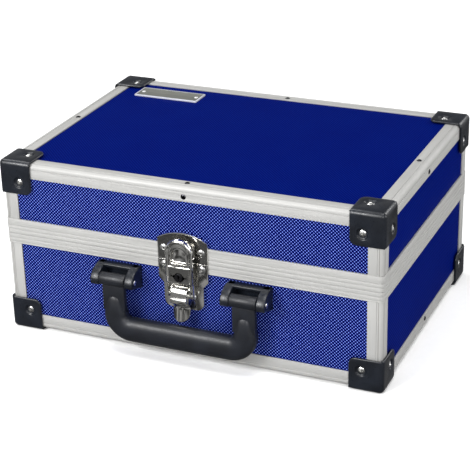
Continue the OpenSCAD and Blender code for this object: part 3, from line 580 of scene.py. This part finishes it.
# ---------------------------------------------------------------------------
# Handle grip: one black moulding, oval in section. Each leg swells out of a
# flat strap below the barrel that turns on the pin.
# ---------------------------------------------------------------------------
BARREL_RADIUS = 5.4
BARREL_WIDE = 22.6
SWELL = 0.82
PIN_OUT = 13.0
PIN_Z = 65.5
GRIP_OUT = 11.0
LEG_X = 57.5
BEND = 13.5
BEND_STEPS = 12
BAR_Z = 21.5
# Sections down a leg: height, width, distance out, thickness
LEG_SECTIONS = [
    (51.4, 2.0, 12.9, 5.6), (51.2, 6.0, 12.8, 6.4), (50.4, 9.6, 12.6, 7.6), (48.8, 11.8, 12.2, 9.6),
    (46.4, 13.2, 11.8, 11.6), (43.4, 14.8, 11.4, 13.2), (40.4, 16.8, 11.1, 14.4),
    (37.6, 18.8, 11.0, 14.9), (35.0, 20.2, 11.0, 15.0),
]


def oval_loop(bm, place, width, thick):
    """A full oval across x and y, moved by a matrix."""
    before = set(bm.edges)
    made = bmesh.ops.create_circle(bm, segments=32, radius=1.0)["verts"]
    for vert in made:
        vert.co.x = math.copysign(abs(vert.co.x) ** SWELL, vert.co.x) * width / 2
        vert.co.y = math.copysign(abs(vert.co.y) ** SWELL, vert.co.y) * thick / 2
    bmesh.ops.transform(bm, matrix=place, verts=made)
    return [e for e in bm.edges if e not in before]


def lofted(bm, loops):
    """Faces between each loop and the next."""
    for first, second in zip(loops, loops[1:]):
        bmesh.ops.bridge_loops(bm, edges=first + second)


grip_black = black_moulding("handle_moulding", (0.004, 0.005, 0.008), 0.42, 700.0)
grip = bmesh.new()
rings = []
for z, width, out, thick in LEG_SECTIONS:
    rings.append(oval_loop(grip, Matrix.Translation((LEG_X, out, z)), width, thick))
elbow = Matrix.Translation((LEG_X - BEND, GRIP_OUT, BAR_Z + BEND))
for step in range(1, BEND_STEPS + 1):
    share = step / BEND_STEPS
    turned = elbow @ Matrix.Rotation(math.radians(90 * share), 4, "Y")
    turned = turned @ Matrix.Translation((BEND, 0, 0))
    rings.append(oval_loop(grip, turned, 20.2 + 0.8 * share, 15.0))
for x in (30.0, 15.0, 0.0):
    rings.append(oval_loop(grip, Matrix.Translation((x, GRIP_OUT, BAR_Z)) @ ACROSS, 21.0, 15.0))
lofted(grip, rings)
bmesh.ops.holes_fill(grip, edges=rings[0], sides=0)
half_grip = grip.verts[:] + grip.edges[:] + grip.faces[:]
bmesh.ops.mirror(grip, geom=half_grip, axis="X", merge_dist=0.01)
for x in (-LEG_X, LEG_X):
    soft_block(grip, (x - 10, PIN_OUT - 2.5, 38.0), (x + 10, PIN_OUT + 2.5, PIN_Z), 1.0)
    barrel = bmesh.ops.create_cone(
        grip, cap_ends=True, segments=40, radius1=BARREL_RADIUS, radius2=BARREL_RADIUS,
        depth=BARREL_WIDE, matrix=Matrix.Translation((x, PIN_OUT, PIN_Z)) @ ACROSS,
    )["verts"]
    ends = once(face for vert in barrel for face in vert.link_faces if len(face.verts) > 4)
    softened(grip, ends, 0.5, 2)
front_piece(grip, "grip_moulding", "black_grip", grip_black, "handle_grip")

# ---------------------------------------------------------------------------
# Latch plates: pressed steel, bright nickel plated, with rolled edges. The
# base plate has two ears for the lever, the strike plate a round-topped hook.
# ---------------------------------------------------------------------------
nickel = plated_steel("bright_nickel", (0.8, 0.79, 0.76), 0.1)
rounded_copy("latch_base_plate", 0.35 * MM, "bright_nickel", nickel, 3)
for node in ("latch_lever_pin", "latch_hasp_pin"):
    rounded_copy(node, 0.15 * MM, "rivet_steel", rivet_steel)

# Plate, ring by ring: half width, top of the sides, rise of the arch, foot, distance out
PLATE_RINGS = [
    (22.0, 104.5, 6.5, 99.5, -1.2), (22.0, 104.5, 6.5, 86.35, 0.62),
    (22.0, 104.5, 6.5, 86.35, 1.35),
    (21.8, 104.4, 6.4, 86.5, 1.7), (21.2, 104.0, 6.2, 86.9, 1.8), (21.0, 103.9, 6.15, 87.1, 1.8),
]
# Hook, ring by ring: half width, middle of the arch, foot, distance out
HOOK_RINGS = [
    (6.4, 93.3, 87.1, 1.7), (6.4, 93.3, 87.1, 6.5), (6.1, 93.3, 87.4, 6.95), (5.6, 93.3, 87.9, 7.1),
    (5.1, 93.3, 88.4, 6.9),
]


def swept_loop(bm, half, spring, foot, out, centre, angle, steps):
    """An outline at one height: a point swept over the top from its spring, and square feet."""
    before = set(bm.edges)
    start = bm.verts.new((half, out, spring))
    swept = bmesh.ops.spin(
        bm, geom=[start], cent=(0, out, centre), axis=(0, -1, 0), angle=angle, steps=steps
    )
    end = swept["geom_last"][0]
    right = bm.verts.new((half, out, foot))
    left = bm.verts.new((-half, out, foot))
    for pair in ((start, right), (right, left), (left, end)):
        bm.edges.new(pair)
    return [e for e in bm.edges if e not in before]


def crowned_loop(bm, half, spring, rise, foot, out):
    """Straight sides under a shallow arch."""
    radius = (half ** 2 + rise ** 2) / (2 * rise)
    centre = spring + rise - radius
    return swept_loop(bm, half, spring, foot, out, centre, 2 * math.asin(half / radius), 20)


def arch_loop(bm, half, spring, foot, out):
    """Straight sides under a round arch."""
    return swept_loop(bm, half, spring, foot, out, spring, math.pi, 28)


strike = bmesh.new()
for loop, sizes in ((crowned_loop, PLATE_RINGS), (arch_loop, HOOK_RINGS)):
    rings = [loop(strike, *ring) for ring in sizes]
    lofted(strike, rings)
    bmesh.ops.holes_fill(strike, edges=rings[-1], sides=0)
front_piece(strike, "strike_pressing", "bright_nickel", nickel, "strike_plate")

# ---------------------------------------------------------------------------
# Hasp: a nickel plated pressing with a rolled border round the window that
# catches the hook, a raised lock case below it, and two arms to the lever.
# ---------------------------------------------------------------------------
ARCH_Z = 96.2
WINDOW_Z = 93.3
# Border, from its outer skirt over the roll to the window: the same values as the hook
HASP_RINGS = [
    (11.8, ARCH_Z, 69.5, 7.4), (11.8, ARCH_Z, 69.5, 9.0), (11.6, ARCH_Z, 69.7, 9.7),
    (11.1, ARCH_Z, 70.2, 10.3), (10.4, ARCH_Z, 70.8, 10.5), (9.8, ARCH_Z, 71.4, 10.2),
    (9.4, ARCH_Z - 0.1, 71.8, 9.5), (8.8, ARCH_Z - 0.8, 83.6, 9.2), (8.3, ARCH_Z - 1.6, 84.9, 9.6),
    (7.7, WINDOW_Z + 0.3, 85.8, 9.9), (7.1, WINDOW_Z, 86.4, 9.7), (6.9, WINDOW_Z, 86.6, 9.1),
    (6.9, WINDOW_Z, 86.6, 7.4),
]
KEY_Z = 75.4
CASE_LOW, CASE_HIGH = 69.9, 84.2
# Lock case: half width, how far its ends are drawn in, distance out. Hole: radius, distance out
CASE_RINGS = [
    (9.4, 0.0, 8.6), (9.4, 0.0, 9.9), (9.2, 0.2, 10.25), (8.8, 0.6, 10.4), (8.6, 0.8, 10.4),
]
KEYHOLE_RINGS = [(4.2, 10.4), (3.9, 10.4), (3.6, 10.25), (3.48, 9.9), (3.48, 7.4)]
HINGE_OUT = 5.4
HINGE_Z = 58.2


def square_loop(bm, half, inset, out):
    """An upright rectangle of edges, cut up so that it joins a round hole."""
    before = set(bm.edges)
    low, high = CASE_LOW + inset, CASE_HIGH - inset
    places = ((-half, low), (half, low), (half, high), (-half, high))
    corners = [bm.verts.new((x, out, z)) for x, z in places]
    sides = [bm.edges.new((corners[n], corners[n - 1])) for n in range(4)]
    bmesh.ops.subdivide_edges(bm, edges=sides, cuts=5)
    return [e for e in bm.edges if e not in before]


def round_loop(bm, radius, out):
    before = set(bm.edges)
    upright = Matrix.Translation((0, out, KEY_Z)) @ Matrix.Rotation(math.radians(90), 4, "X")
    bmesh.ops.create_circle(bm, segments=24, radius=radius, matrix=upright)
    return [e for e in bm.edges if e not in before]


def folded_arm(bm, x, thick, radius, upper):
    """A sheet arm in a side plane: its round end about the lever's pin, then its upper points."""
    start = bm.verts.new((x, HINGE_OUT - radius, HINGE_Z))
    swept = bmesh.ops.spin(
        bm, geom=[start], cent=(x, HINGE_OUT, HINGE_Z), axis=(1, 0, 0), angle=math.pi, steps=14
    )
    outline = [swept["geom_last"][0]] + [bm.verts.new((x, y, z)) for y, z in upper] + [start]
    for pair in zip(outline, outline[1:]):
        bm.edges.new(pair)
    around = [
        e for e in bm.edges
        if not e.link_faces and all(abs(v.co.x - x) < 1e-6 for v in e.verts)
    ]
    thickened(bm, bmesh.ops.contextual_create(bm, geom=around)["faces"][0], thick, 0.3, 2)


hasp = bmesh.new()
rings = [arch_loop(hasp, *ring) for ring in HASP_RINGS]
lofted(hasp, rings + rings[:1])
rings = [square_loop(hasp, *ring) for ring in CASE_RINGS]
lofted(hasp, rings + [round_loop(hasp, *ring) for ring in KEYHOLE_RINGS])
for x in (-11.8, 10.3):
    folded_arm(hasp, x, 1.5, 2.6, [(8.9, 64.0), (8.9, 82.0), (6.0, 82.0)])
front_piece(hasp, "hasp_pressing", "bright_nickel", nickel, "latch_hasp")

# ---------------------------------------------------------------------------
# Key cylinder: a turned steel barrel with a keyway across its face, sunk in
# the hasp's lock case, and painted near black as painted shade in the hole.
# A collar and a short cam sit on it behind the sheet.
# ---------------------------------------------------------------------------
# The cylinder's near black colour is painted shade in the keyhole
lock_shade_steel = plated_steel("lock_shade_steel", (0.05, 0.05, 0.055), 0.35)
rounded_copy("key_cylinder", 0.15 * MM, "rivet_steel", lock_shade_steel)

# ---------------------------------------------------------------------------
# Lever: a nickel plated pressing folded round its two pins. Its front curves
# out to a knee, and below it runs a crowned finger tail with a round tip.
# ---------------------------------------------------------------------------
# The lever and its arm in side view: out, up
LEVER_SIDE = [
    (5.9, 66.6), (7.8, 66.2), (9.4, 65.2), (10.6, 63.8), (11.3, 62.4), (11.7, 60.9), (12.2, 59.1),
    (13.0, 57.0), (13.5, 55.9), (13.6, 55.1), (13.3, 54.4), (12.2, 53.6), (10.7, 52.6), (9.4, 51.3),
    (8.5, 49.9), (8.3, 48.2), (8.5, 46.0), (8.8, 43.8), (9.15, 41.6), (9.5, 39.6), (9.8, 37.9),
    (9.95, 36.8), (10.0, 36.1),
]
LEVER_ARM = [
    (8.4, 51.6), (12.7, 54.6), (12.6, 56.4), (10.6, 59.9), (8.8, 62.9), (7.6, 64.6), (6.0, 66.2),
    (4.2, 65.8), (3.4, 64.0),
]
LEVER_HALF = 6.8
TIP_Z = 36.0
KNEE_ROW = 11
SHEET = 1.1
BARREL_LONG = 13.2

lever = bmesh.new()
last_row = len(LEVER_SIDE) - 1
for vert in bmesh.ops.create_grid(lever, x_segments=14, y_segments=last_row, size=1.0)["verts"]:
    row = round((1.0 - vert.co.y) / 2 * last_row)
    across = vert.co.x
    out, z = LEVER_SIDE[row]
    below = max(0.0, TIP_Z + LEVER_HALF - z)
    half = math.sqrt(max(LEVER_HALF ** 2 - below ** 2, 0.05))
    crown = min(2.8, 0.5 + 0.6 * max(0, row - KNEE_ROW))
    vert.co = (across * half, out - crown * (across * half / LEVER_HALF) ** 2, z)
bmesh.ops.recalc_face_normals(lever, faces=lever.faces)
bmesh.ops.solidify(lever, geom=lever.faces[:], thickness=SHEET)
for x in (-6.8, 5.6):
    folded_arm(lever, x, 1.2, 2.4, LEVER_ARM)
for y, z, radius in ((6.0, 64.0, 2.5), (HINGE_OUT, HINGE_Z, 2.3)):
    bmesh.ops.create_cone(
        lever, cap_ends=True, segments=28, radius1=radius, radius2=radius, depth=BARREL_LONG,
        matrix=Matrix.Translation((0, y, z)) @ ACROSS,
    )
front_piece(lever, "lever_pressing", "bright_nickel", nickel, "latch_lever")

# ---------------------------------------------------------------------------
# Label plate: bare, dull brushed aluminium with a raised border that carries a
# painted highlight, held by two bright pins.
# ---------------------------------------------------------------------------
plate_metal, brushed = extruded_aluminium(
    "brushed_plate", (40.0, 3200.0, 3200.0), (0.125, 0.13, 0.115), (0.17, 0.17, 0.155)
)
middle, half = middle_and_half("label_plate")
away = plate_metal.use(from_middle, Middle=middle).outputs
edges = [
    plate_metal.span(away[axis], 0.0, 1.0, reach - 1.3 * MM, reach - 0.8 * MM)
    for axis, reach in zip("XY", half)
]
border_highlight = plate_metal.math("MAXIMUM", *edges)
# The bright border colour is a painted highlight
plate_metal.feed("Base Color", plate_metal.mix(border_highlight, brushed, (0.55, 0.56, 0.62)))
rounded_copy("label_plate", 0.15 * MM, "brushed_plate", plate_metal)
pin_steel = plated_steel("pin_steel", (0.95, 0.95, 0.95), 0.55)
rounded_copy("label_pins", RIVET_EDGE, "rivet_steel", pin_steel)
